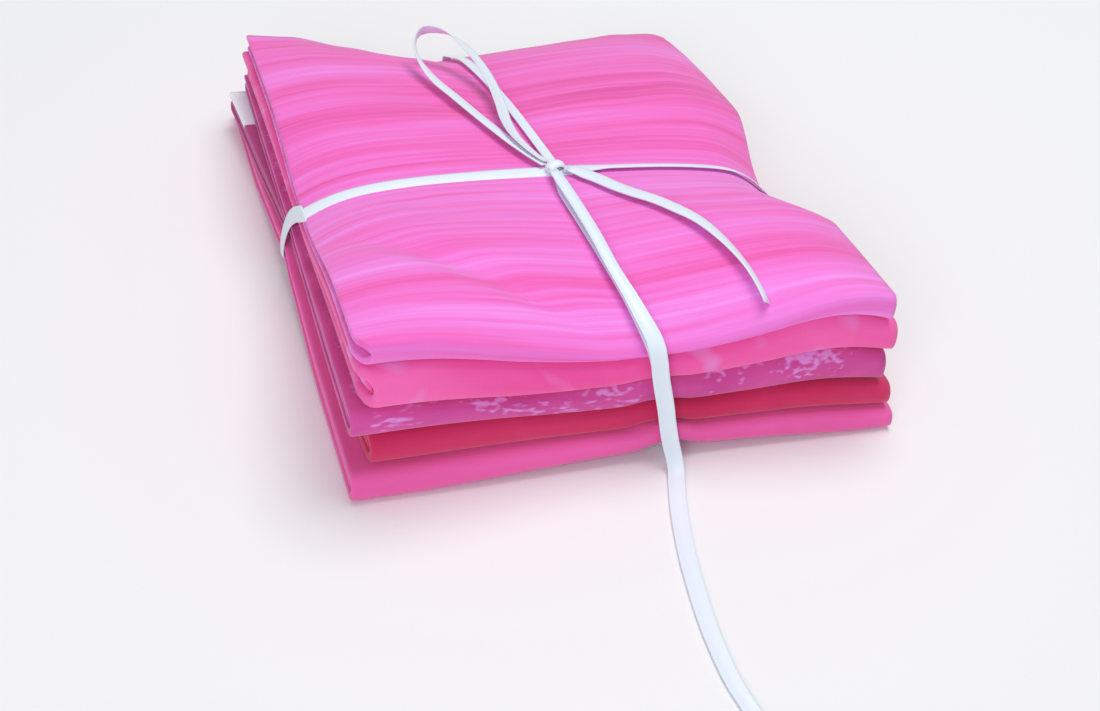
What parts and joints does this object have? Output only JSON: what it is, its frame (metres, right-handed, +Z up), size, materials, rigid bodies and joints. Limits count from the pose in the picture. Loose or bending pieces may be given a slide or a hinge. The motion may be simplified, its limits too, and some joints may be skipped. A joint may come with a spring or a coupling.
{
  "type": "fat quarter bundle",
  "caption": "Folded fat quarters of pink quilting cotton, stacked and tied parcel-fashion with a narrow white ribbon and a bow.",
  "frame": {"origin": "centre of the stack's footprint on the surface it lies on, without the ribbon's free ends", "axes": "+Z up through the stack, +Y toward the back with the folded front edges at -Y, +X to the right"},
  "size_m": [0.1592, 0.289, 0.0524],
  "materials": {
    "streaked_cotton": "matte",
    "blotched_cotton": "matte",
    "motif_cotton": "matte",
    "cerise_cotton": "matte",
    "pink_cotton": "matte",
    "white_satin": "satin"
  },
  "bodies": {
    "root": {"fat_quarter_1": "streaked_cotton", "fat_quarter_2": "blotched_cotton", "fat_quarter_3": "motif_cotton", "fat_quarter_4": "cerise_cotton", "fat_quarter_5": "pink_cotton", "ribbon_tie": "white_satin", "ribbon_short_end": "white_satin", "ribbon_long_end": "white_satin"}
  },
  "joints": []
}
